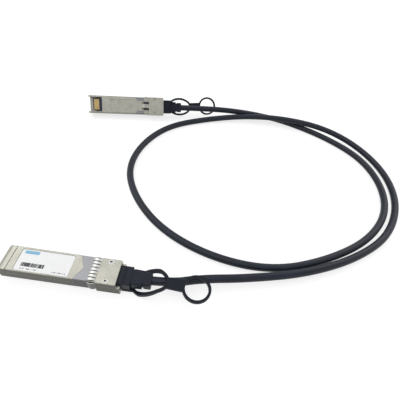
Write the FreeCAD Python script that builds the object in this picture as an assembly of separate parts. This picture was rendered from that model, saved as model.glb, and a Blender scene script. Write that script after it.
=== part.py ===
import FreeCAD, Part
import math
import os
from FreeCAD import Placement, Rotation, Vector

# A direct-attach network cable: a twin-axial cord with the same pluggable metal module on both ends.
# All sizes are millimetres. Each module is drawn once in its own frame: +X from the nose to the cord,
# +Z towards the label face, Z = 0 on the underside of the slim body.

# Slim body that slides into the cage
body_width = 13.55
body_height = 8.55
stop_from_nose = 47.5
latch_from_nose = 45.0
side_wall = 1.2
lid_thickness = 1.3
floor_thickness = 1.5
low_edge_chamfer = 1.1
high_edge_chamfer = 0.3
parting_height = 5.2

# Nose with the socket for the host connector
nose_bridge_length = 4.0
nose_bevel_length = 2.0
nose_bevel_drop = 1.0
seam_gap = 0.25
lap_length = 1.4
lap_thickness = 0.7
socket_length = 10.4

# Wide head outside the cage
head_width = 14.0
head_drop = 0.5
head_length = 10.0
trough_length = 1.8
head_floor_below_axis = 1.675
head_cavity_width = 7.8
head_edge_chamfer = 0.35

# Panels sunk in the outer faces
label_start = 7.4
label_end = 34.3
label_width = 11.9
label_offset = -0.2
label_recess_depth = 0.25
label_corner_radius = 1.4
label_margin = 0.15
label_thickness = 0.1
panel_start = 17.0
panel_end = 34.0
panel_width = 8.6
panel_depth = 0.3

# Circuit board
board_thickness = 1.0
board_underside = 2.25
board_start = 3.2
board_end = 44.8
tongue_width = 9.2
tongue_end = 11.5
board_side_gap = 0.12
board_corner = 0.5
ledge_width = 1.2
ledge_start = 12.5
ledge_end = 44.0
post_size = 1.2
post_places = (18.0, 35.0)

# Gold contacts
pad_count = 10
pad_pitch = 0.8
pad_width = 0.5
pad_length = 3.9
pad_from_board_edge = 0.7
pad_thickness = 0.04

# Parts soldered on the board
chip_start = 22.0
chip_length = 4.9
chip_width = 3.9
chip_height = 1.5
chip_standoff = 0.12
lead_count = 4
lead_pitch = 1.27
lead_width = 0.42
lead_reach = 1.05
lead_thickness = 0.2
capacitor_start = 13.6
capacitor_length = 1.0
capacitor_width = 0.5
capacitor_height = 0.5
capacitor_places = (-3.0, -1.8, 1.8, 3.0)

# Twin-axial cores, their glue block and crimp ring
core_radius = 0.8
core_spacing = 1.7
core_start = 42.5
mould_start = 39.5
mould_end = 46.5
mould_width = 8.4
mould_height = 2.3
mould_edge_radius = 0.5
crimp_start = 55.0
crimp_radius = 2.3
crimp_wall = 0.35

# Latch boss on the underside and the tine slots beside it
boss_width = 2.6
boss_height = 0.45
boss_length = 2.6
boss_flat = 0.8
slot_start = 41.6
pedestal_width = 2.9
slot_width = 1.85
slot_depth = 1.0
channel_floor = 0.1

# Sliding latch actuator
latch_travel = 2.2
slider_clearance = 0.1
tine_tip = 43.0
tine_ramp_flat = 0.6
tine_ramp_run = 1.2
tine_ramp_exit = 0.4
tine_ramp_drop = 0.25
crossbar_start = 48.3
tail_width = 4.8
tail_end = 63.0
window_width = 1.9
window_start = 49.6
window_length = 6.6

# Return spring in its pocket
spring_width = 1.5
spring_height = 1.3
spring_strip = 0.22
spring_legs = 8
spring_pocket_length = 3.6
spring_pocket_top = 1.9
spring_gap = 0.1

# Spring-finger collar that grounds the body in the cage
collar_thickness = 0.2
collar_recess = 0.25
collar_shoulder = 36.6
collar_point = 40.0
collar_end = 47.35
finger_start = 43.5
finger_rise = 0.55
finger_slot = 0.5
top_fingers = 7
side_fingers = 3
collar_foot_width = 3.0

# Two countersunk screws through the head
screw_from_nose = 52.3
screw_from_edge = 1.7
screw_radius = 0.8
screw_clearance = 0.05
screw_head_radius = 1.45
screw_drive_flats = 1.3
screw_drive_depth = 0.6
screw_tip_recess_radius = 1.1
screw_tip_depth = 0.9

# Moulded strain relief
boot_clearance = 0.05
boot_below_axis = 2.525
boot_flange_length = 2.0
boot_flange_width = 10.6
boot_flange_above_axis = 2.825
boot_neck_width = 9.4
boot_neck_above_axis = 2.675
head_wall = 1.7
boot_block_length = 6.5
boot_block_width = 10.3
boot_block_above_axis = 3.125
boot_rib_width = 0.5
boot_rib_places = (2.4, 3.4)
boot_rib_depth = 0.25
boot_notch_length = 0.6
boot_notch_width = 8.0
boot_taper_length = 5.0
boot_taper_width = 8.8
boot_taper_end_width = 8.3
boot_taper_above_axis = 2.725
boot_groove_length = 0.8
boot_groove_width = 6.2
boot_collar_length = 3.6
boot_collar_width = 7.3
boot_collar_height = 5.4
boot_edge_radius = 0.8

# Pull tab moulded on the actuator's tail: root plate, eye round the cord, strap and finger ring
tab_gap = 0.3
root_width = 10.3
root_end = 65.5
root_thickness = 1.8
eye_centre = 72.9
eye_half_length = 10.2
eye_half_width = 7.05
eye_band = 1.55
ramp_start = 68.0
ramp_length = 10.0
ramp_offset = 0.4
strap_clearance = 0.475
strap_thickness = 1.4
strap_width = 5.8
ring_centre = 97.0
ring_radius = 7.3
ring_band = 1.4
tab_pivot = 63.0
tab_turn = 4.0

# Cord
cord_diameter = 4.5
cord_start = 60.0
cord_bore_clearance = 0.02

# Where the far module lies: nose position, turn on the table, and roll from label-down towards the viewer
far_nose_x = -6.6
far_nose_y = 142.2
far_yaw = 11.8
far_roll = 55.4

# Heights of the cord's centre line where it lies on the table and at the top of the crossing
lie_height = 2.3
hump_height = 11.3

# Straight stretch of the cord inside and just behind each strain relief
cord_lead = 26.0

# The cord's route between its two leads, chosen by hand along the loop that the photograph shows
cord_route = [
    (120.0, 8.2, 4.4),
    (156.0, 18.0, 3.4),
    (189.5, 33.2, lie_height),
    (216.5, 56.5, lie_height),
    (232.5, 88.0, lie_height),
    (233.0, 121.0, lie_height),
    (216.0, 148.0, 5.5),
    (189.0, 162.5, hump_height),
    (157.0, 166.5, hump_height),
    (123.0, 164.0, 6.5),
    (89.5, 154.0, lie_height),
    (60.5, 137.5, lie_height),
    (44.5, 111.5, lie_height),
    (40.0, 82.0, lie_height),
    (51.0, 56.0, lie_height),
    (73.0, 34.0, lie_height),
    (104.0, 21.0, lie_height),
    (138.0, 18.5, lie_height),
    (171.0, 30.2, lie_height),
    (200.0, 50.0, lie_height),
    (220.0, 75.5, lie_height),
    (226.0, 104.5, lie_height),
    (217.5, 133.0, lie_height),
    (193.0, 154.5, lie_height),
    (160.0, 169.8, 2.5),
    (133.0, 171.0, 4.6),
    (105.0, 165.0, 7.7),
]
arc_share = 0.45

cut_margin = 5.0


def box(x0, x1, y0, y1, z0, z1):
    return Part.makeBox(x1 - x0, y1 - y0, z1 - z0, Vector(x0, y0, z0))


def centred_box(x0, x1, width, z0, z1):
    return box(x0, x1, -width / 2, width / 2, z0, z1)


def joined(shapes):
    result = shapes[0]
    for shape in shapes[1:]:
        result = result.fuse(shape)
    return result.removeSplitter()


def prism(points, direction):
    wire = Part.makePolygon(points + points[:1])
    return Part.Face(wire).extrude(direction)


def upright_prism(plan, z0, z1):
    return prism([Vector(x, y, z0) for x, y in plan], Vector(0, 0, z1 - z0))


def side_prism(profile, y0, y1):
    return prism([Vector(x, y0, z) for x, z in profile], Vector(0, y1 - y0, 0))


def cylinder(radius, height, base, direction):
    return Part.makeCylinder(radius, height, base, direction)


def body_section(x0, x1, width, z0, z1, low, high):
    """A bar with chamfered long edges: low chamfers at z0 and high chamfers at z1."""
    half = width / 2
    outline = [
        (-half, z0 + low), (-half + low, z0), (half - low, z0), (half, z0 + low),
        (half, z1 - high), (half - high, z1), (-half + high, z1), (-half, z1 - high),
    ]
    return prism([Vector(x0, y, z) for y, z in outline], Vector(x1 - x0, 0, 0))


def rounded_plate(x0, x1, y0, y1, z0, z1, radius):
    """A plate with rounded upright corners."""
    plate = box(x0, x1, y0, y1, z0, z1)
    return plate.makeFillet(radius, upright_edges(plate))


def upright_edges(shape):
    edges = []
    for edge in shape.Edges:
        start, end = edge.Vertexes[0].Point, edge.Vertexes[-1].Point
        if abs(start.x - end.x) < 1e-6 and abs(start.y - end.y) < 1e-6:
            edges.append(edge)
    return edges


def long_edges(shape):
    edges = []
    for edge in shape.Edges:
        start, end = edge.Vertexes[0].Point, edge.Vertexes[-1].Point
        if abs(start.y - end.y) < 1e-6 and abs(start.z - end.z) < 1e-6:
            edges.append(edge)
    return edges


def rounded_bar(x0, x1, width, z0, z1, radius):
    """A bar with rounded long edges."""
    bar = centred_box(x0, x1, width, z0, z1)
    return bar.makeFillet(radius, long_edges(bar))


body_axis_height = body_height / 2
head_floor_top = body_axis_height - head_floor_below_axis
boot_bottom = body_axis_height - boot_below_axis
root_bottom = boot_bottom - tab_gap - root_thickness
boot_flange_top = body_axis_height + boot_flange_above_axis
boot_neck_top = body_axis_height + boot_neck_above_axis
boot_block_top = body_axis_height + boot_block_above_axis
boot_taper_top = body_axis_height + boot_taper_above_axis
strap_bottom = body_axis_height + cord_diameter / 2 + strap_clearance
screw_spacing = head_width - 2 * screw_from_edge
cavity_width = body_width - 2 * side_wall
cavity_top = body_height - lid_thickness
head_end = stop_from_nose + head_length
trough_end = head_end + trough_length
head_wall_start = head_end - head_wall
flange_start = head_wall_start - boot_flange_length
slot_outer_width = pedestal_width + 2 * slot_width


def collar_plan(x1):
    """The collar's outline from above: its front edge is a notch that takes the body's pointed plateau."""
    half = head_width / 2 + cut_margin
    shoulder_half = body_width / 2
    return [
        (collar_shoulder, -half), (collar_shoulder, -shoulder_half), (collar_point, 0.0),
        (collar_shoulder, shoulder_half), (collar_shoulder, half), (x1, half), (x1, -half),
    ]


def body_skin(x0, x1, outer_inset, inner_inset):
    """The layer of the slim body between two depths below its surface."""
    def inset_section(inset, start, end):
        return body_section(start, end, body_width - 2 * inset, inset, body_height - inset,
                            low_edge_chamfer, high_edge_chamfer)
    outer = inset_section(outer_inset, x0, x1)
    return outer.cut(inset_section(inner_inset, x0 - 1.0, x1 + 1.0))


def collar_seat():
    """The shallow recess round the body in which the collar lies flush."""
    skin = body_skin(collar_shoulder, stop_from_nose, -0.5, collar_recess)
    plan = upright_prism(collar_plan(stop_from_nose), -cut_margin, body_height + cut_margin)
    open_middle = body_width - 2 * collar_foot_width
    middle = centred_box(0.0, trough_end, open_middle, -cut_margin, floor_thickness)
    return skin.common(plan).cut(middle)


def screw_axes():
    for side in (-1, 1):
        yield Vector(screw_from_nose, side * screw_spacing / 2, 0.0)


def boot_passage():
    """The way out of the head: a pocket for the strain relief's flange and a window for its neck."""
    gap = boot_clearance
    flange = centred_box(flange_start, head_wall_start, boot_flange_width + 2 * gap,
                         boot_bottom - gap, boot_flange_top + gap)
    neck = centred_box(head_wall_start - gap, head_end + gap, boot_neck_width + 2 * gap,
                       boot_bottom - gap, boot_neck_top + gap)
    return flange.fuse(neck)


def inner_cavity():
    """The hollow that the two shells share."""
    body = centred_box(socket_length, stop_from_nose, cavity_width, floor_thickness, cavity_top)
    head = centred_box(stop_from_nose - 1.0, flange_start + 1.0, head_cavity_width, head_floor_top, cavity_top)
    return joined([body, head])


def latch_boss():
    """The wedge that the cage's tongue snaps over."""
    start = latch_from_nose - boss_length
    profile = [
        (start, 0.0), (latch_from_nose - boss_flat, -boss_height),
        (latch_from_nose, -boss_height), (latch_from_nose, 0.0),
        (latch_from_nose, floor_thickness / 2), (start, floor_thickness / 2),
    ]
    return side_prism(profile, -boss_width / 2, boss_width / 2)


def slider_channel():
    """Two slots beside the latch boss that lead back into a flat tunnel through the head."""
    tunnel = centred_box(crossbar_start - slider_clearance, trough_end + 1.0, slot_outer_width,
                         channel_floor, slot_depth)
    shapes = [tunnel]
    for side in (-1, 1):
        inner, outer = side * pedestal_width / 2, side * slot_outer_width / 2
        low, high = min(inner, outer), max(inner, outer)
        shapes.append(box(slot_start, stop_from_nose, low, high, -head_drop - 1.0, slot_depth))
        shapes.append(box(stop_from_nose - 0.5, crossbar_start, low, high, channel_floor, slot_depth))
    pocket = centred_box(window_start, window_start + spring_pocket_length, window_width,
                         channel_floor, spring_pocket_top)
    shapes.append(pocket)
    return joined(shapes)


def make_shell_bottom():
    """Die-cast housing: nose, floor, lower side walls, latch boss and the lower half of the head."""
    slim = body_section(0.0, stop_from_nose, body_width, 0.0, body_height,
                        low_edge_chamfer, high_edge_chamfer)
    above = centred_box(nose_bridge_length, stop_from_nose + 1.0, 2 * head_width, parting_height,
                        body_height + 1.0)
    slim = slim.cut(above)
    head = body_section(stop_from_nose, trough_end, head_width, -head_drop, parting_height,
                        head_edge_chamfer, 0.0)
    shell = joined([slim, head])
    socket = centred_box(-1.0, socket_length, cavity_width, -1.0, cavity_top)
    shell = shell.cut(socket).cut(inner_cavity())
    lap = centred_box(nose_bridge_length / 2, nose_bridge_length + lap_length, cavity_width,
                      cavity_top - lap_thickness, cavity_top)
    ledges = [
        box(ledge_start, ledge_end, side * cavity_width / 2 - ledge_width * (side > 0),
            side * cavity_width / 2 + ledge_width * (side < 0), floor_thickness, board_underside)
        for side in (-1, 1)
    ]
    shell = joined([shell, lap, latch_boss()] + ledges)
    bevel = side_prism([(-1.0, body_height + 1.0), (-1.0, body_height - nose_bevel_drop),
                        (0.0, body_height - nose_bevel_drop), (nose_bevel_length, body_height),
                        (nose_bevel_length, body_height + 1.0)], -head_width, head_width)
    trough = centred_box(head_end, trough_end + 1.0, boot_block_width + 4 * boot_clearance,
                         boot_bottom - boot_clearance, parting_height + 1.0)
    panel = centred_box(panel_start, panel_end, panel_width, -1.0, panel_depth)
    shell = shell.cut(bevel).cut(trough).cut(panel).cut(collar_seat())
    shell = shell.cut(slider_channel()).cut(boot_passage())
    for axis in screw_axes():
        bottom = Vector(axis.x, axis.y, -head_drop - 1.0)
        shell = shell.cut(cylinder(screw_radius, body_height, bottom, Vector(0, 0, 1)))
        shell = shell.cut(cylinder(screw_tip_recess_radius, 1.0 + screw_tip_depth, bottom, Vector(0, 0, 1)))
    return shell.removeSplitter()


def make_shell_top():
    """Die-cast cover with the label panel, the pointed plateau and the upper half of the head."""
    start = nose_bridge_length + seam_gap
    slim = body_section(start, stop_from_nose, body_width, parting_height, body_height,
                        0.0, high_edge_chamfer)
    head = body_section(stop_from_nose, head_end, head_width, parting_height, body_height,
                        0.0, head_edge_chamfer)
    shell = joined([slim, head])
    cavity = centred_box(start - 1.0, stop_from_nose, cavity_width, 0.0, cavity_top)
    shell = shell.cut(cavity).cut(inner_cavity()).cut(boot_passage())
    posts = []
    for place in post_places:
        for side in (-1, 1):
            centre = side * (cavity_width - post_size) / 2
            posts.append(box(place, place + post_size, centre - post_size / 2, centre + post_size / 2,
                             board_underside + board_thickness, cavity_top))
    shell = joined([shell] + posts)
    recess = rounded_plate(label_start, label_end, label_offset - label_width / 2,
                           label_offset + label_width / 2, body_height - label_recess_depth,
                           body_height + 1.0, label_corner_radius)
    shell = shell.cut(recess).cut(collar_seat())
    for axis in screw_axes():
        top = Vector(axis.x, axis.y, body_height)
        hole = cylinder(screw_radius + screw_clearance, body_height, Vector(axis.x, axis.y, 0), Vector(0, 0, 1))
        sink = Part.makeCone(screw_head_radius, 0.0, screw_head_radius, top, Vector(0, 0, -1))
        shell = shell.cut(hole).cut(sink)
    return shell.removeSplitter()


def make_circuit_board():
    """Board with a narrow tongue whose bevelled end enters the host connector."""
    top = board_underside + board_thickness
    tongue_half = tongue_width / 2
    wide_half = cavity_width / 2 - board_side_gap
    plan = [
        (board_start, -tongue_half + board_corner), (board_start + board_corner, -tongue_half),
        (tongue_end, -tongue_half), (tongue_end + board_corner, -wide_half), (board_end, -wide_half),
        (board_end, wide_half), (tongue_end + board_corner, wide_half), (tongue_end, tongue_half),
        (board_start + board_corner, tongue_half), (board_start, tongue_half - board_corner),
    ]
    return upright_prism(plan, board_underside, top)


def make_contact_pads():
    """Two rows of gold fingers, one on each face of the tongue."""
    start = board_start + pad_from_board_edge
    pads = []
    for index in range(pad_count):
        centre = (index - (pad_count - 1) / 2) * pad_pitch
        low, high = centre - pad_width / 2, centre + pad_width / 2
        pads.append(box(start, start + pad_length, low, high, board_underside - pad_thickness, board_underside))
        top = board_underside + board_thickness
        pads.append(box(start, start + pad_length, low, high, top, top + pad_thickness))
    return Part.makeCompound(pads)


def make_memory_chip():
    """Small gull-wing memory chip that names the cable to the switch."""
    base = board_underside + board_thickness
    body = box(chip_start, chip_start + chip_length, -chip_width / 2, chip_width / 2,
               base + chip_standoff, base + chip_height)
    pieces = [body]
    middle = chip_start + chip_length / 2
    knee = base + chip_height / 2
    for index in range(lead_count):
        centre = middle + (index - (lead_count - 1) / 2) * lead_pitch
        low, high = centre - lead_width / 2, centre + lead_width / 2
        for side in (-1, 1):
            near, far = side * chip_width / 2, side * (chip_width / 2 + lead_reach)
            bend = side * (chip_width / 2 + lead_reach / 2)
            foot = sorted((bend, far))
            arm = sorted((near, bend))
            riser = sorted((bend - side * lead_thickness, bend))
            pieces.append(box(low, high, foot[0], foot[1], base, base + lead_thickness))
            pieces.append(box(low, high, riser[0], riser[1], base, knee))
            pieces.append(box(low, high, arm[0], arm[1], knee - lead_thickness, knee))
    return joined(pieces)


def make_coupling_capacitors():
    """Four chip capacitors in the signal lines behind the contacts."""
    base = board_underside + board_thickness
    return Part.makeCompound([
        box(capacitor_start, capacitor_start + capacitor_length, place - capacitor_width / 2,
            place + capacitor_width / 2, base, base + capacitor_height)
        for place in capacitor_places
    ])


def core_cylinders():
    return [
        cylinder(core_radius, cord_start - core_start,
                 Vector(core_start, side * core_spacing / 2, body_axis_height), Vector(1, 0, 0))
        for side in (-1, 1)
    ]


def make_twinax_cores():
    """The two shielded pairs, bare of the jacket, from the board to the cord."""
    return Part.makeCompound(core_cylinders())


def make_wire_mould():
    """Hot-melt block over the soldered joints at the back of the board."""
    base = board_underside + board_thickness
    block = centred_box(mould_start, mould_end, mould_width, base, base + mould_height)
    block = block.makeFillet(mould_edge_radius, long_edges(block)[1::2])
    for core in core_cylinders():
        block = block.cut(core)
    return block


def make_crimp_ring():
    """Crimped ring that clamps the cord's braid inside the strain relief."""
    start = Vector(crimp_start, 0, body_axis_height)
    length = cord_start - crimp_start
    outer = cylinder(crimp_radius, length, start, Vector(1, 0, 0))
    return outer.cut(cylinder(crimp_radius - crimp_wall, length, start, Vector(1, 0, 0)))


def bowed_finger(width):
    """One leaf of the collar: a thin strip bowed outwards, drawn flat side down at Z = 0."""
    length = collar_end - finger_start
    middle = finger_start + length / 2
    low = [Vector(finger_start, 0, 0), Vector(middle, 0, finger_rise), Vector(collar_end, 0, 0)]
    high = [point + Vector(0, 0, collar_thickness) for point in low]
    edges = [
        Part.Arc(*low).toShape(),
        Part.makeLine(low[2], high[2]),
        Part.Arc(*reversed(high)).toShape(),
        Part.makeLine(high[0], low[0]),
    ]
    face = Part.Face(Part.Wire(edges))
    finger = face.extrude(Vector(0, width, 0))
    finger.translate(Vector(0, -width / 2, 0))
    return finger


def finger_row(count, span):
    """Evenly spaced fingers over a span across the body."""
    pitch = span / count
    row = []
    for index in range(count):
        finger = bowed_finger(pitch - finger_slot)
        finger.translate(Vector(0, (index - (count - 1) / 2) * pitch, 0))
        row.append(finger)
    return row


def make_emi_collar():
    """Stamped collar wrapped over the body, with bowed spring fingers on the label face and both sides."""
    band = body_skin(collar_shoulder, finger_start, collar_recess - collar_thickness, collar_recess)
    plan = upright_prism(collar_plan(finger_start), -cut_margin, body_height + cut_margin)
    open_middle = body_width - 2 * collar_foot_width
    middle = centred_box(0.0, trough_end, open_middle, -cut_margin, floor_thickness)
    pieces = [band.common(plan).cut(middle)]
    top_span = body_width - 2 * collar_recess - 2 * high_edge_chamfer
    for finger in finger_row(top_fingers, top_span):
        finger.translate(Vector(0, 0, body_height - collar_recess))
        pieces.append(finger)
    side_span = body_height - 2 * collar_recess - low_edge_chamfer - high_edge_chamfer
    side_middle = body_axis_height + (low_edge_chamfer - high_edge_chamfer) / 2
    for side in (-1, 1):
        for finger in finger_row(side_fingers, side_span):
            finger.rotate(Vector(0, 0, 0), Vector(1, 0, 0), -90 * side)
            finger.translate(Vector(0, side * (body_width / 2 - collar_recess), side_middle))
            pieces.append(finger)
    return joined(pieces)


def make_latch_slider():
    """Flat actuator: two ramped tines beside the latch boss, a crossbar and a tail in the pull tab."""
    low = channel_floor + slider_clearance
    high = slot_depth - slider_clearance
    width = slot_outer_width - 2 * slider_clearance
    ramp_top = tine_tip + tine_ramp_run
    flat_end = ramp_top + tine_ramp_flat
    profile = [
        (tine_tip, high), (tine_tip, (low + high) / 2), (ramp_top, low - tine_ramp_drop),
        (flat_end, low - tine_ramp_drop), (flat_end + tine_ramp_exit, low),
        (crossbar_start + 1.0, low), (crossbar_start + 1.0, high),
    ]
    pieces = [centred_box(crossbar_start, window_start + window_length + 1.0, width, low, high)]
    for side in (-1, 1):
        inner = side * (pedestal_width / 2 + slider_clearance)
        outer = side * width / 2
        pieces.append(side_prism(profile, min(inner, outer), max(inner, outer)))
    pieces.append(centred_box(window_start + window_length, tail_end, tail_width, low, high))
    window = centred_box(window_start, window_start + window_length, window_width, low - 1.0, high + 1.0)
    return joined(pieces).cut(window)


def make_return_spring():
    """Flat serpentine spring between the actuator's window and the end of its pocket in the housing."""
    start = window_start + spring_gap
    pitch = (spring_pocket_length - 2 * spring_gap - spring_strip) / (spring_legs - 1)
    low = channel_floor + spring_gap
    high = low + spring_height
    half = spring_width / 2
    pieces = []
    for index in range(spring_legs):
        leg = start + index * pitch
        pieces.append(centred_box(leg, leg + spring_strip, spring_width, low, high))
        if index == spring_legs - 1:
            continue
        side = 1 if index % 2 else -1
        edge = sorted((side * half, side * (half - spring_strip)))
        pieces.append(box(leg, leg + pitch + spring_strip, edge[0], edge[1], low, high))
    return joined(pieces)


def make_cover_screws():
    """Two countersunk screws with hexagon sockets that hold the shells together."""
    screws = []
    for axis in screw_axes():
        low = Vector(axis.x, axis.y, screw_tip_depth - head_drop)
        shaft = cylinder(screw_radius, body_height - low.z - screw_head_radius / 2, low, Vector(0, 0, 1))
        top = Vector(axis.x, axis.y, body_height)
        head = Part.makeCone(screw_head_radius, 0.0, screw_head_radius, top, Vector(0, 0, -1))
        screw = joined([shaft, head])
        drive_radius = screw_drive_flats / math.sqrt(3)
        corners = [
            (axis.x + drive_radius * math.cos(math.radians(60 * step)),
             axis.y + drive_radius * math.sin(math.radians(60 * step)))
            for step in range(6)
        ]
        drive = upright_prism(corners, body_height - screw_drive_depth, body_height + 1.0)
        screws.append(screw.cut(drive))
    return Part.makeCompound(screws)


def make_label():
    """Paper label laid in the cover's panel."""
    floor = body_height - label_recess_depth
    half = label_width / 2 - label_margin
    return rounded_plate(label_start + label_margin, label_end - label_margin, label_offset - half,
                         label_offset + half, floor, floor + label_thickness,
                         label_corner_radius - label_margin)


def make_strain_relief():
    """Moulded boot: flange and neck in the head, ribbed block, tapered body, groove and end collar."""
    block_end = head_end + boot_block_length
    taper_start = block_end + boot_notch_length
    taper_end = taper_start + boot_taper_length
    collar_begin = taper_end + boot_groove_length
    boot_end = collar_begin + boot_collar_length
    radius = boot_edge_radius
    collar_low = body_axis_height - boot_collar_height / 2
    collar_high = body_axis_height + boot_collar_height / 2
    block = rounded_bar(head_end, block_end, boot_block_width, boot_bottom, boot_block_top, radius)
    for place in boot_rib_places:
        start = head_end + place
        ring = centred_box(start, start + boot_rib_width, 2 * head_width, boot_block_top - boot_rib_depth,
                           boot_block_top + 1.0)
        block = block.cut(ring)
    taper_plan = [
        (taper_start, -boot_taper_width / 2), (taper_end, -boot_taper_end_width / 2),
        (taper_end, boot_taper_end_width / 2), (taper_start, boot_taper_width / 2),
    ]
    taper = upright_prism(taper_plan, boot_bottom, boot_taper_top)
    taper = taper.makeFillet(radius, slanted_edges(taper))
    pieces = [
        centred_box(flange_start + boot_clearance, head_wall_start - boot_clearance, boot_flange_width,
                    boot_bottom, boot_flange_top),
        centred_box(head_wall_start - 2 * boot_clearance, head_end, boot_neck_width, boot_bottom, boot_neck_top),
        block,
        rounded_bar(block_end, taper_start, boot_notch_width, boot_bottom, boot_taper_top, radius),
        taper,
        rounded_bar(taper_end, collar_begin, boot_groove_width, boot_bottom, boot_neck_top, radius),
        rounded_bar(collar_begin, boot_end, boot_collar_width, collar_low, collar_high, radius),
    ]
    boot = joined(pieces)
    axis = Vector(flange_start - 1.0, 0, body_axis_height)
    bore = cylinder(cord_diameter / 2 + cord_bore_clearance, 2 * boot_end, Vector(cord_start, 0, body_axis_height),
                    Vector(1, 0, 0))
    seat = cylinder(crimp_radius, cord_start - axis.x, axis, Vector(1, 0, 0))
    return boot.cut(bore).cut(seat)


def slanted_edges(shape):
    """The four edges of a tapered block that run along it."""
    edges = []
    for edge in shape.Edges:
        start, end = edge.Vertexes[0].Point, edge.Vertexes[-1].Point
        if abs(start.x - end.x) > 1e-6:
            edges.append(edge)
    return edges


def ellipse_plate(centre, half_length, half_width, z0, z1):
    curve = Part.Ellipse(Vector(centre, 0, z0), half_length, half_width)
    return Part.Face(Part.Wire([curve.toShape()])).extrude(Vector(0, 0, z1 - z0))


def make_pull_tab():
    """One flexible moulding that rises from under the boot, round the cord, to a finger ring above it.

    Past its root it leans a little to one side, as it lies over the round cord.
    """
    z0, z1 = root_bottom - 1.0, strap_bottom + strap_thickness + 1.0
    start = trough_end + tab_gap
    eye_end = eye_centre + eye_half_length
    root = centred_box(start, root_end, root_width, z0, z1)
    eye = ellipse_plate(eye_centre, eye_half_length, eye_half_width, z0, z1)
    strap = centred_box(eye_end - eye_band, ring_centre - ring_radius + ring_band / 2, strap_width, z0, z1)
    opening = ellipse_plate(eye_centre, eye_half_length - eye_band, eye_half_width - eye_band, z0, z1)
    ring_base = Vector(ring_centre, 0, z0)
    ring = cylinder(ring_radius, z1 - z0, ring_base, Vector(0, 0, 1))
    hole = cylinder(ring_radius - ring_band, z1 - z0, ring_base, Vector(0, 0, 1))
    loops = joined([eye, strap, ring])
    for shape in (loops, opening, hole):
        shape.rotate(Vector(tab_pivot, 0, 0), Vector(0, 0, 1), -tab_turn)
    plan = joined([root, loops]).cut(opening).cut(hole)
    end = ring_centre + ring_radius + 1.0
    root_top = root_bottom + root_thickness
    ramp_end = ramp_start + ramp_length
    profile = [
        (start - 1.0, root_bottom), (ramp_start + ramp_offset, root_bottom),
        (ramp_end + ramp_offset, strap_bottom), (end, strap_bottom), (end, strap_bottom + strap_thickness),
        (ramp_end - ramp_offset, strap_bottom + strap_thickness), (ramp_start - ramp_offset, root_top),
        (start - 1.0, root_top),
    ]
    side = side_prism(profile, -2 * head_width, 2 * head_width)
    return plan.common(side).cut(make_latch_slider())


def near_placement():
    return Placement(Vector(0, 0, head_drop), Rotation())


def far_placement():
    """The far module lies on a long edge: label side down, rolled towards the viewer."""
    roll = math.radians(far_roll)
    rest_height = head_width / 2 * math.sin(roll) + body_axis_height * math.cos(roll)
    centre = Placement(Vector(0, 0, -body_axis_height), Rotation())
    turn = Rotation(Vector(0, 0, 1), far_yaw).multiply(Rotation(Vector(1, 0, 0), 180.0 + far_roll))
    return Placement(Vector(far_nose_x, far_nose_y, rest_height), turn).multiply(centre)


def cord_path(corners):
    """Straight runs joined by tangent arcs, each as large as its two runs allow."""
    edges = []
    length = 0.0
    last = corners[0]
    for before, corner, after in zip(corners, corners[1:], corners[2:]):
        way_in = (corner - before).normalize()
        way_out = (after - corner).normalize()
        turn = way_in.getAngle(way_out)
        reach = arc_share * min(before.distanceToPoint(corner), corner.distanceToPoint(after))
        radius = reach / math.tan(turn / 2)
        start = corner - way_in * reach
        end = corner + way_out * reach
        inward = (way_out - way_in).normalize()
        middle = corner + inward * (radius / math.cos(turn / 2) - radius)
        edges.append(Part.makeLine(last, start))
        edges.append(Part.Arc(start, middle, end).toShape())
        length += last.distanceToPoint(start) + radius * turn
        last = end
        print("bend of %5.1f degrees, radius %6.1f mm" % (math.degrees(turn), radius))
    edges.append(Part.makeLine(last, corners[-1]))
    length += last.distanceToPoint(corners[-1])
    return Part.Wire(edges), length


def cord_lead_points(placement):
    """Where the cord starts inside a module and where its straight lead ends."""
    return [
        placement.multVec(Vector(place, 0, body_axis_height))
        for place in (cord_start, cord_start + cord_lead)
    ]


def make_cord():
    """The jacketed cord from inside one strain relief to inside the other."""
    near_lead = cord_lead_points(near_placement())
    far_lead = cord_lead_points(far_placement())
    points = near_lead + [Vector(*point) for point in cord_route] + far_lead[::-1]
    path, length = cord_path(points)
    start = points[0]
    section = Part.Face(Part.Wire([Part.makeCircle(cord_diameter / 2, start, points[1] - start)]))
    cord = path.makePipe(section)
    expected = math.pi * (cord_diameter / 2) ** 2 * length
    print("cord length %.1f mm, volume %.1f, section times length %.1f" % (length, cord.Volume, expected))
    return cord


module_parts = {
    "shell_bottom": make_shell_bottom,
    "shell_top": make_shell_top,
    "circuit_board": make_circuit_board,
    "contact_pads": make_contact_pads,
    "memory_chip": make_memory_chip,
    "coupling_capacitors": make_coupling_capacitors,
    "twinax_cores": make_twinax_cores,
    "wire_mould": make_wire_mould,
    "crimp_ring": make_crimp_ring,
    "emi_collar": make_emi_collar,
    "latch_slider": make_latch_slider,
    "return_spring": make_return_spring,
    "cover_screws": make_cover_screws,
    "label": make_label,
    "strain_relief": make_strain_relief,
    "pull_tab": make_pull_tab,
}


def main():
    os.makedirs("parts", exist_ok=True)
    ends = {"near": near_placement(), "far": far_placement()}
    for name, make in module_parts.items():
        drawn = make()
        for end, placement in ends.items():
            placed = drawn.copy()
            placed.Placement = placement.multiply(placed.Placement)
            placed.exportStep("parts/%s_%s.step" % (end, name))
        box_size = drawn.BoundBox
        print("%-20s solids %2d valid %s x %.2f..%.2f y %.2f..%.2f z %.2f..%.2f" % (
            name, len(drawn.Solids), drawn.isValid(), box_size.XMin, box_size.XMax,
            box_size.YMin, box_size.YMax, box_size.ZMin, box_size.ZMax))
    make_cord().exportStep("parts/cable.step")


main()
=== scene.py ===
import bpy
import math
from mathutils import Matrix, Vector


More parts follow.
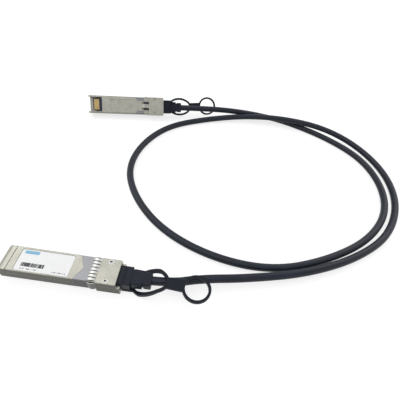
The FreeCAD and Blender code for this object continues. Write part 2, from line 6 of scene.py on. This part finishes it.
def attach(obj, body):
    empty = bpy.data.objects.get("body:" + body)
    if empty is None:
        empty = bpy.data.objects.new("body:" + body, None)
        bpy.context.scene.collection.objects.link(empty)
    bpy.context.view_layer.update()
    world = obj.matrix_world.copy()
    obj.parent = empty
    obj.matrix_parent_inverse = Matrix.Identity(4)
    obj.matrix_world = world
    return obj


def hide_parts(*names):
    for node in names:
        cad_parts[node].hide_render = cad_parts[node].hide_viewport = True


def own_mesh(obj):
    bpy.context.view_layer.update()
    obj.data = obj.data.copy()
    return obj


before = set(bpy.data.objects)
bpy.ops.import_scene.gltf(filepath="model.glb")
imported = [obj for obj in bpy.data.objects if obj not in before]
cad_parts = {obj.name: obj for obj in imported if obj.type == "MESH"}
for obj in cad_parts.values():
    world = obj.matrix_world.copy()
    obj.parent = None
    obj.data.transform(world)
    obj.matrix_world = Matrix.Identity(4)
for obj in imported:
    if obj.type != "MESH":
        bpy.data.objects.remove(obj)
scene = bpy.context.scene
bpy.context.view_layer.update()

MM = 0.001
ENDS = ("near", "far")

# Camera, as fitted to both modules
CAMERA_PLACE = (0.0900, -0.0686, 0.1479)
CAMERA_AZIMUTH = -1.18
CAMERA_ELEVATION = 48.13
CAMERA_ROLL = 9.34
CAMERA_LENS = 27.0
CAMERA_SENSOR = 36.0

# Cord
CORD_DIAMETER = 4.5
MODULE_AXIS_HEIGHT = 4.775
LIE_HEIGHT = 2.3
CROSSING_HEIGHT = 7.5

# Modules, with the far one's place, turn and roll as in the part
HEAD_DROP = 0.5
HEAD_WIDTH = 14.0
FINGER_START = 43.5
BODY_AXIS = 4.275
FAR_NOSE = (-6.6, 142.2)
FAR_YAW = 11.8
FAR_ROLL = 55.4

# Plain print on the label: where it runs along and across the module, its ink and its pattern
LABEL_PRINT = (
    ((9.2, 16.4), (3.2, 5.0), (0.22, 0.50, 0.70), None),
    ((10.0, 21.4), (-3.7, -1.6), (0.035, 0.035, 0.04), "stripes"),
    ((10.4, 18.6), (-5.15, -4.65), (0.20, 0.20, 0.22), "dashes"),
    ((26.0, 32.6), (-5.0, -4.5), (0.24, 0.24, 0.26), "dashes"),
)

# Metal colours: the factor that darkens a module's long sides as painted shade, and the collar's fingers made
# brighter as a painted highlight
FLANK_PAINTED_SHADE = (0.22, 0.22, 0.215)
FINGER_PAINTED_HIGHLIGHT = (0.60, 0.60, 0.585)

# Studio, in metres and watts: each lamp's name, place, aim, size and power
FLOOR_SIZE = 6.0
FLOOR_PLACE = (0.1, 0.08, -0.00002)
FLOOR_GLOW = 0.74
ROOM_GLOW = 0.44
SEEN_GLOW = 0.9
LAMPS = (
    ("key", (-0.35, 0.0, 0.8), (0.1, 0.08, 0.0), (1.3, 1.3), 5.0),
    ("gleam", (-0.47, 0.36, 0.7), (0.0, 0.0, 0.0), (0.3, 0.3), 0.45),
    ("rim", (0.5, 0.5, 0.45), (0.1, 0.08, 0.0), (0.5, 0.3), 0.8),
)

# The cord's route in millimetres, chosen close to the part's route, and lower over the crossing
CORD_POINTS = [
    (60.0, 0.0, MODULE_AXIS_HEIGHT),
    (82.0, 0.0, MODULE_AXIS_HEIGHT),
    (99.0, 5.4, 4.7),
    (122.0, 9.2, 4.6),
    (156.4, 17.9, 4.2),
    (189.5, 33.6, 3.2),
    (217.0, 56.0, LIE_HEIGHT),
    (233.0, 88.0, LIE_HEIGHT),
    (233.0, 121.0, LIE_HEIGHT),
    (216.0, 147.2, 4.4),
    (189.5, 160.8, CROSSING_HEIGHT),
    (157.0, 166.0, CROSSING_HEIGHT),
    (123.0, 165.2, 5.0),
    (89.5, 155.4, LIE_HEIGHT),
    (60.0, 138.0, LIE_HEIGHT),
    (44.0, 111.5, LIE_HEIGHT),
    (40.0, 82.0, LIE_HEIGHT),
    (51.2, 56.0, LIE_HEIGHT),
    (73.0, 33.6, LIE_HEIGHT),
    (104.0, 20.2, LIE_HEIGHT),
    (138.0, 17.6, LIE_HEIGHT),
    (170.6, 29.4, LIE_HEIGHT),
    (201.0, 48.8, LIE_HEIGHT),
    (221.0, 75.0, LIE_HEIGHT),
    (226.0, 104.5, LIE_HEIGHT),
    (217.5, 133.0, LIE_HEIGHT),
    (193.0, 154.5, LIE_HEIGHT),
    (160.0, 169.4, 2.5),
    (133.0, 170.6, 4.6),
    (105.0, 165.4, 7.7),
    (77.58, 159.79, 8.19),
    (52.13, 154.47, 8.19),
]


# Each module's own frame: +X from its nose to the cord, +Z towards its label

def module_frames():
    roll = math.radians(FAR_ROLL)
    rest_height = HEAD_WIDTH / 2 * math.sin(roll) + BODY_AXIS * math.cos(roll)
    near = Matrix.Translation((0.0, 0.0, HEAD_DROP))
    far = Matrix.Translation((*FAR_NOSE, rest_height))
    far = far @ Matrix.Rotation(math.radians(FAR_YAW), 4, "Z") @ Matrix.Rotation(math.pi + roll, 4, "X")
    far = far @ Matrix.Translation((0.0, 0.0, -BODY_AXIS))
    return {"near": near, "far": far}


MODULE_FRAMES = module_frames()


# Material helpers

def new_material(name):
    material = bpy.data.materials.new(name)
    material.use_nodes = True
    nodes = material.node_tree.nodes
    return material, nodes, material.node_tree.links, nodes["Principled BSDF"]


def millimetres(nodes, links, end=None):
    """The point in millimetres, in the named module's own frame or else in the part's."""
    inverse = MODULE_FRAMES[end].inverted() if end else Matrix.Identity(4)
    mapping = nodes.new("ShaderNodeMapping")
    mapping.inputs["Scale"].default_value = (1.0 / MM, 1.0 / MM, 1.0 / MM)
    mapping.inputs["Rotation"].default_value = inverse.to_euler()
    mapping.inputs["Location"].default_value = inverse.to_translation()
    links.new(nodes.new("ShaderNodeTexCoord").outputs["Object"], mapping.inputs["Vector"])
    return mapping.outputs["Vector"]


def along(nodes, links, place, axis):
    """One coordinate of the place, by the name of its axis."""
    parts = nodes.new("ShaderNodeSeparateXYZ")
    links.new(place, parts.inputs["Vector"])
    return parts.outputs[axis]


def noise(nodes, links, place, size, detail=2.0, stretch=(1.0, 1.0, 1.0)):
    """Noise whose features are about size millimetres across, stretched by the three factors."""
    mapping = nodes.new("ShaderNodeMapping")
    mapping.inputs["Scale"].default_value = [1.0 / factor for factor in stretch]
    links.new(place, mapping.inputs["Vector"])
    texture = nodes.new("ShaderNodeTexNoise")
    texture.inputs["Scale"].default_value = 1.0 / size
    texture.inputs["Detail"].default_value = detail
    links.new(mapping.outputs["Vector"], texture.inputs["Vector"])
    return texture.outputs["Fac"]


def calculate(nodes, links, operation, *values):
    node = nodes.new("ShaderNodeMath")
    node.operation = operation
    for socket, value in zip(node.inputs, values):
        if isinstance(value, (int, float)):
            socket.default_value = value
        else:
            links.new(value, socket)
    return node.outputs["Value"]


def between(nodes, links, value, low, high):
    """1 where the value lies between low and high, 0 elsewhere."""
    return calculate(nodes, links, "COMPARE", value, (low + high) / 2, (high - low) / 2)


def ramp(nodes, links, factor, low, high, start=0.3, end=0.7):
    """A colour that runs from low to high as the factor goes from start to end."""
    colours = nodes.new("ShaderNodeValToRGB")
    colours.color_ramp.elements[0].position = start
    colours.color_ramp.elements[0].color = (*low, 1.0)
    colours.color_ramp.elements[1].position = end
    colours.color_ramp.elements[1].color = (*high, 1.0)
    links.new(factor, colours.inputs["Fac"])
    return colours.outputs["Color"]


def span(nodes, links, factor, low, high, start=0.3, end=0.7):
    """A number that runs from low to high as the factor goes from start to end."""
    limits = nodes.new("ShaderNodeMapRange")
    limits.inputs["From Min"].default_value = start
    limits.inputs["From Max"].default_value = end
    limits.inputs["To Min"].default_value = low
    limits.inputs["To Max"].default_value = high
    links.new(factor, limits.inputs["Value"])
    return limits.outputs["Result"]


def blend(nodes, links, factor, below, above, kind="MIX"):
    """Lays the colour above over the colour below, as far as the factor says."""
    node = nodes.new("ShaderNodeMixRGB")
    node.blend_type = kind
    for socket, value in zip(node.inputs, (factor, below, above)):
        if isinstance(value, float):
            socket.default_value = value
        elif isinstance(value, tuple):
            socket.default_value = (*value, 1.0)
        else:
            links.new(value, socket)
    return node.outputs["Color"]


def rounded_edges(nodes, links, radius):
    """How near the point is to a sharp outer or inner edge, and the normal with that edge rounded."""
    rounded = nodes.new("ShaderNodeBevel")
    rounded.samples = 6
    rounded.inputs["Radius"].default_value = radius * MM
    straight = nodes.new("ShaderNodeNewGeometry")
    turn = nodes.new("ShaderNodeVectorMath")
    turn.operation = "DOT_PRODUCT"
    links.new(rounded.outputs["Normal"], turn.inputs[0])
    links.new(straight.outputs["Normal"], turn.inputs[1])
    return span(nodes, links, turn.outputs["Value"], 1.0, 0.0, 0.7, 0.99), rounded.outputs["Normal"]


def painted_crevice_shade(nodes, links, colour, reach, depth):
    """Darkens the colour in gaps and corners narrower than about the reach, by up to the depth, as painted
    shade.
    """
    open_air = nodes.new("ShaderNodeAmbientOcclusion")
    open_air.samples = 8
    open_air.inputs["Distance"].default_value = reach * MM
    shade = ramp(nodes, links, open_air.outputs["AO"], (depth, depth, depth), (1.0, 1.0, 1.0), 0.25, 0.85)
    return blend(nodes, links, 1.0, colour, shade, "MULTIPLY")


def facing(nodes, links, end, direction):
    """How far the surface faces the direction or its opposite, which is given in the module's frame."""
    axis = MODULE_FRAMES[end].to_3x3() @ Vector(direction)
    turn = nodes.new("ShaderNodeVectorMath")
    turn.operation = "DOT_PRODUCT"
    links.new(nodes.new("ShaderNodeTexCoord").outputs["Normal"], turn.inputs[0])
    turn.inputs[1].default_value = axis
    return calculate(nodes, links, "ABSOLUTE", turn.outputs["Value"])


def painted_flank_shade(nodes, links, end, colour):
    """Darkens the module's two long sides as painted shade."""
    flank = span(nodes, links, facing(nodes, links, end, (0.0, 1.0, 0.0)), 0.0, 1.0, 0.6, 0.95)
    return blend(nodes, links, flank, colour, FLANK_PAINTED_SHADE, "MULTIPLY")


def bump(nodes, links, shader, height, distance, strength=0.5, normal=None):
    node = nodes.new("ShaderNodeBump")
    node.inputs["Strength"].default_value = strength
    node.inputs["Distance"].default_value = distance * MM
    links.new(height, node.inputs["Height"])
    if normal:
        links.new(normal, node.inputs["Normal"])
    links.new(node.outputs["Normal"], shader.inputs["Normal"])


def cast_metal(name, end, dark, light, rough_low, rough_high, reach=0.9, depth=0.35):
    """Satin plate over a die casting: pebbled grain, cloudiness, long sides darkened as painted shade, edges
    lightened partly as wear and partly as a painted highlight, and painted shade in its gaps.
    """
    material, nodes, links, shader = new_material(name + "_" + end)
    place = millimetres(nodes, links, end)
    cloud = noise(nodes, links, place, 5.0, 3.0)
    grain = noise(nodes, links, place, 0.45, 3.0)
    mixed = calculate(nodes, links, "ADD", calculate(nodes, links, "MULTIPLY", cloud, 0.4),
                      calculate(nodes, links, "MULTIPLY", grain, 0.6))
    colour = ramp(nodes, links, mixed, dark, light, 0.35, 0.65)
    # Painted shade: the module's two long sides darkened
    colour = painted_flank_shade(nodes, links, end, colour)
    # Edges lightened, partly as wear and partly as a painted highlight
    edge, rounded = rounded_edges(nodes, links, 0.22)
    highlight_paint = tuple(min(1.0, channel * 1.3) for channel in light)
    colour = blend(nodes, links, calculate(nodes, links, "MULTIPLY", edge, 0.8), colour, highlight_paint)
    # Painted shade in gaps and corners
    links.new(painted_crevice_shade(nodes, links, colour, reach, depth), shader.inputs["Base Color"])
    links.new(span(nodes, links, grain, rough_low, rough_high), shader.inputs["Roughness"])
    shader.inputs["Metallic"].default_value = 0.7
    bump(nodes, links, shader, grain, 0.03, 0.4, rounded)
    return material


def sheet_metal(name, end, dark, light, roughness, stretch, painted_highlight_start=None):
    """Rolled and stamped metal with fine draw lines, long sides and gaps darkened as painted shade, and
    brighter as a painted highlight beyond the given start along the module.
    """
    material, nodes, links, shader = new_material(name + "_" + end)
    place = millimetres(nodes, links, end)
    lines = noise(nodes, links, place, 0.25, 2.0, stretch)
    colour = ramp(nodes, links, lines, dark, light)
    # Painted highlight: the collar's fingers made brighter
    if painted_highlight_start:
        highlight_paint = calculate(nodes, links, "GREATER_THAN", along(nodes, links, place, "X"), painted_highlight_start)
        colour = blend(nodes, links, highlight_paint, colour, FINGER_PAINTED_HIGHLIGHT)
    # Painted shade: the module's two long sides darkened
    colour = painted_flank_shade(nodes, links, end, colour)
    # Painted shade in gaps and corners
    links.new(painted_crevice_shade(nodes, links, colour, 0.3, 0.3), shader.inputs["Base Color"])
    links.new(span(nodes, links, lines, roughness - 0.05, roughness + 0.08), shader.inputs["Roughness"])
    shader.inputs["Metallic"].default_value = 0.75
    bump(nodes, links, shader, lines, 0.006, 0.3, rounded_edges(nodes, links, 0.1)[1])
    return material


def moulding(name, dark, light, roughness, grain_size, gloss=0.45):
    """Moulded polymer: faint mottling, spark-eroded grain, softened edges and an uneven satin."""
    material, nodes, links, shader = new_material(name)
    place = millimetres(nodes, links)
    mottle = noise(nodes, links, place, 3.0, 3.0)
    grain = noise(nodes, links, place, grain_size, 2.0)
    links.new(ramp(nodes, links, mottle, dark, light), shader.inputs["Base Color"])
    links.new(span(nodes, links, mottle, roughness - 0.05, roughness + 0.06), shader.inputs["Roughness"])
    shader.inputs["Specular IOR Level"].default_value = gloss
    bump(nodes, links, shader, grain, 0.02, 0.3, rounded_edges(nodes, links, 0.15)[1])
    return material


# Label: coated film with plain fields and bars for print, and no lettering

def label_material(end):
    material, nodes, links, shader = new_material("label_white_" + end)
    place = millimetres(nodes, links, end)
    across = along(nodes, links, place, "Y")
    length = along(nodes, links, place, "X")
    mottle = noise(nodes, links, place, 2.0, 2.0)
    colour = ramp(nodes, links, mottle, (0.95, 0.955, 0.96), (0.97, 0.975, 0.98))
    stripes = noise(nodes, links, place, 0.36, 1.0, (1.0, 60.0, 60.0))
    dashes = noise(nodes, links, place, 0.8, 1.0, (1.0, 60.0, 60.0))
    for x_range, y_range, ink, pattern in LABEL_PRINT:
        field = calculate(nodes, links, "MULTIPLY", between(nodes, links, length, *x_range),
                          between(nodes, links, across, *y_range))
        if pattern:
            texture, threshold = (stripes, 0.38) if pattern == "stripes" else (dashes, 0.45)
            gaps = calculate(nodes, links, "GREATER_THAN", texture, threshold)
            field = calculate(nodes, links, "MULTIPLY", field, gaps)
        colour = blend(nodes, links, field, colour, ink)
    links.new(colour, shader.inputs["Base Color"])
    shader.inputs["Roughness"].default_value = 0.4
    bump(nodes, links, shader, noise(nodes, links, place, 0.15, 2.0), 0.004, 0.3)
    return material


def paint(node_names, material):
    for name in node_names:
        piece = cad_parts[name]
        piece.data.materials.clear()
        piece.data.materials.append(material)


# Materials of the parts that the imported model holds

for module in ENDS:
    nickel = cast_metal("nickel_casting", module, (0.33, 0.325, 0.28), (0.49, 0.48, 0.42), 0.32, 0.5)
    screw_metal = cast_metal("screw_steel", module, (0.42, 0.42, 0.41), (0.58, 0.58, 0.56), 0.2, 0.34,
                             0.9, 0.02)
    collar_metal = sheet_metal("collar_steel", module, (0.235, 0.237, 0.247), (0.265, 0.267, 0.278), 0.3,
                               (1.0, 12.0, 1.0), FINGER_START)
    latch_metal = sheet_metal("latch_steel", module, (0.035, 0.035, 0.04), (0.055, 0.055, 0.06), 0.4,
                              (12.0, 1.0, 1.0))
    spring_metal = sheet_metal("spring_steel", module, (0.30, 0.30, 0.32), (0.42, 0.42, 0.44), 0.3,
                               (1.0, 1.0, 8.0))
    gold = sheet_metal("contact_gold", module, (0.80, 0.52, 0.16), (0.92, 0.68, 0.30), 0.22, (10.0, 1.0, 1.0))
    brass = sheet_metal("crimp_brass", module, (0.62, 0.52, 0.32), (0.74, 0.65, 0.44), 0.3, (1.0, 6.0, 6.0))
    for part_name, part_material in (
        ("shell_bottom", nickel),
        ("shell_top", nickel),
        ("cover_screws", screw_metal),
        ("emi_collar", collar_metal),
        ("latch_slider", latch_metal),
        ("return_spring", spring_metal),
        ("contact_pads", gold),
        ("crimp_ring", brass),
        ("label", label_material(module)),
    ):
        paint(["%s_%s" % (module, part_name)], part_material)

for part_name, part_material in (
    ("circuit_board", moulding("board_blue", (0.006, 0.012, 0.035), (0.010, 0.020, 0.055), 0.35, 0.3)),
    ("memory_chip", moulding("chip_black", (0.018, 0.018, 0.02), (0.03, 0.03, 0.032), 0.5, 0.1)),
    ("coupling_capacitors", moulding("capacitor_ceramic", (0.33, 0.22, 0.13), (0.42, 0.29, 0.18), 0.4, 0.1)),
    ("twinax_cores", moulding("core_insulation", (0.60, 0.61, 0.64), (0.72, 0.73, 0.75), 0.35, 0.2)),
    ("wire_mould", moulding("glue_clear", (0.62, 0.55, 0.40), (0.72, 0.66, 0.52), 0.4, 0.4)),
    ("strain_relief", moulding("boot_black", (0.005, 0.007, 0.016), (0.010, 0.013, 0.026), 0.42, 0.12, 0.22)),
    ("pull_tab", moulding("tab_black", (0.005, 0.007, 0.014), (0.009, 0.012, 0.021), 0.45, 0.12, 0.18)),
):
    paint(["%s_%s" % (module, part_name) for module in ENDS], part_material)


# Return springs: each a piece of its own, which shortens as its latch slides

def make_spring(end):
    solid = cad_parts["%s_return_spring" % end]
    spring = bpy.data.objects.new("%s_spring" % end, solid.data.copy())
    scene.collection.objects.link(spring)
    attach(spring, "cable_assembly")
    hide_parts(solid.name)
    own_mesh(spring)


for module in ENDS:
    make_spring(module)


# Cord: one smooth curve along the route

def jacket_material():
    """Extruded jacket: slate black, long soft highlights, faint draw marks and handling scuffs."""
    material, nodes, links, shader = new_material("jacket_slate")
    place = millimetres(nodes, links)
    mottle = noise(nodes, links, place, 9.0, 3.0)
    grain = noise(nodes, links, place, 0.3, 2.0)
    colour = ramp(nodes, links, mottle, (0.006, 0.009, 0.018), (0.012, 0.016, 0.029))
    links.new(colour, shader.inputs["Base Color"])
    links.new(span(nodes, links, mottle, 0.36, 0.46), shader.inputs["Roughness"])
    shader.inputs["Specular IOR Level"].default_value = 0.3
    bump(nodes, links, shader, grain, 0.015, 0.25)
    return material


def make_cord():
    curve = bpy.data.curves.new("cord", "CURVE")
    curve.dimensions = "3D"
    spline = curve.splines.new("NURBS")
    spline.points.add(len(CORD_POINTS) - 1)
    for point, place in zip(spline.points, CORD_POINTS):
        point.co = (*[value * MM for value in place], 1.0)
    spline.order_u = 3
    spline.use_endpoint_u = True
    spline.resolution_u = 16
    curve.bevel_depth = CORD_DIAMETER / 2 * MM
    curve.bevel_resolution = 8
    curve.use_fill_caps = True
    cord = bpy.data.objects.new("cord", curve)
    scene.collection.objects.link(cord)
    curve.materials.append(jacket_material())
    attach(cord, "cable_assembly")
    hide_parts("cable")
    return cord


make_cord()


# Floor, light and camera

def make_floor():
    bpy.ops.mesh.primitive_plane_add(size=FLOOR_SIZE, location=FLOOR_PLACE)
    floor = bpy.context.object
    floor.name = "floor"
    material, nodes, links, shader = new_material("floor_white")
    shader.inputs["Base Color"].default_value = (0.40, 0.40, 0.40, 1.0)
    shader.inputs["Roughness"].default_value = 0.9
    shader.inputs["Specular IOR Level"].default_value = 0.1
    glow = nodes.new("ShaderNodeEmission")
    glow.inputs["Color"].default_value = (1.0, 1.0, 1.0, 1.0)
    glow.inputs["Strength"].default_value = FLOOR_GLOW
    rays = nodes.new("ShaderNodeLightPath")
    seen = calculate(nodes, links, "MAXIMUM", rays.outputs["Is Camera Ray"], rays.outputs["Is Glossy Ray"])
    lit = nodes.new("ShaderNodeAddShader")
    links.new(shader.outputs["BSDF"], lit.inputs[0])
    links.new(glow.outputs["Emission"], lit.inputs[1])
    mixed = nodes.new("ShaderNodeMixShader")
    links.new(seen, mixed.inputs["Fac"])
    links.new(shader.outputs["BSDF"], mixed.inputs[1])
    links.new(lit.outputs["Shader"], mixed.inputs[2])
    links.new(mixed.outputs["Shader"], nodes["Material Output"].inputs["Surface"])
    floor.data.materials.append(material)


def make_world():
    world = bpy.data.worlds.new("studio")
    scene.world = world
    world.use_nodes = True
    nodes, links = world.node_tree.nodes, world.node_tree.links
    rays = nodes.new("ShaderNodeLightPath")
    seen = calculate(nodes, links, "MAXIMUM", rays.outputs["Is Camera Ray"], rays.outputs["Is Glossy Ray"])
    seen = calculate(nodes, links, "MAXIMUM", seen, rays.outputs["Is Transmission Ray"])
    background = nodes["Background"]
    background.inputs["Color"].default_value = (1.0, 1.0, 1.0, 1.0)
    links.new(span(nodes, links, seen, ROOM_GLOW, SEEN_GLOW, 0.0, 1.0), background.inputs["Strength"])


def area_light(name, place, aim, size, power):
    data = bpy.data.lights.new(name, "AREA")
    data.shape = "RECTANGLE"
    data.size, data.size_y = size
    data.energy = power
    lamp = bpy.data.objects.new(name, data)
    lamp.location = place
    lamp.rotation_euler = (Vector(aim) - Vector(place)).to_track_quat("-Z", "Y").to_euler()
    scene.collection.objects.link(lamp)


def make_camera():
    azimuth, elevation, roll = (math.radians(v) for v in (CAMERA_AZIMUTH, CAMERA_ELEVATION, CAMERA_ROLL))
    back = Vector((math.sin(azimuth) * math.cos(elevation), -math.cos(azimuth) * math.cos(elevation),
                   math.sin(elevation)))
    level = Vector((math.cos(azimuth), math.sin(azimuth), 0.0))
    right = math.cos(roll) * level + math.sin(roll) * back.cross(level)
    up = back.cross(right)
    data = bpy.data.cameras.new("camera")
    data.lens = CAMERA_LENS
    data.sensor_fit = "HORIZONTAL"
    data.sensor_width = CAMERA_SENSOR
    data.clip_start = 0.002
    data.clip_end = 20.0
    camera = bpy.data.objects.new("camera", data)
    turn = Matrix((right, up, back)).transposed().to_4x4()
    camera.matrix_world = Matrix.Translation(CAMERA_PLACE) @ turn
    scene.collection.objects.link(camera)
    scene.camera = camera


make_floor()
make_world()
for lamp_name, lamp_place, lamp_aim, lamp_size, lamp_power in LAMPS:
    area_light(lamp_name, lamp_place, lamp_aim, lamp_size, lamp_power)
make_camera()

scene.view_settings.view_transform = "Standard"
